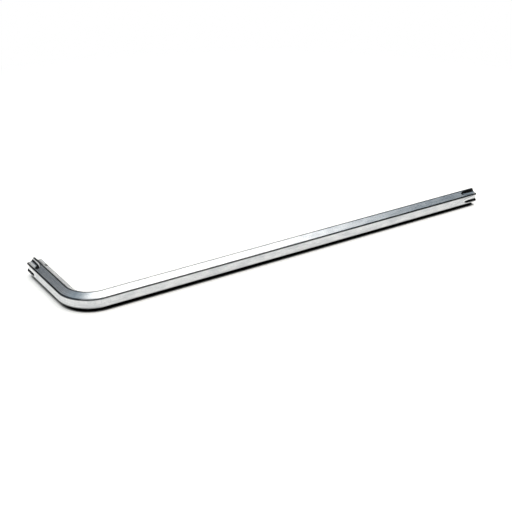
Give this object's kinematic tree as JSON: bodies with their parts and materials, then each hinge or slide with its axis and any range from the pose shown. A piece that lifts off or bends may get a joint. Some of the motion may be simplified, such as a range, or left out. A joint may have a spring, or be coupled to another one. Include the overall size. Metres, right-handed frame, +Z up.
{
  "type": "star-drive key",
  "caption": "Long-arm star-drive key: a hexagonal steel bar bent to an L and fluted into a star drive at both ends, for turning recessed screws.",
  "frame": {"origin": "middle of the key's box, on the surface that it lies on", "axes": "+X along the long arm towards its tip, +Y along the short arm towards its tip, +Z up from the surface that it lies on"},
  "size_m": [0.155, 0.034, 0.0056],
  "materials": {
    "chrome_plate": "bright chrome plate over drawn steel, with fine lines along the bar"
  },
  "bodies": {
    "root": {"star_key": "chrome_plate"}
  },
  "joints": []
}
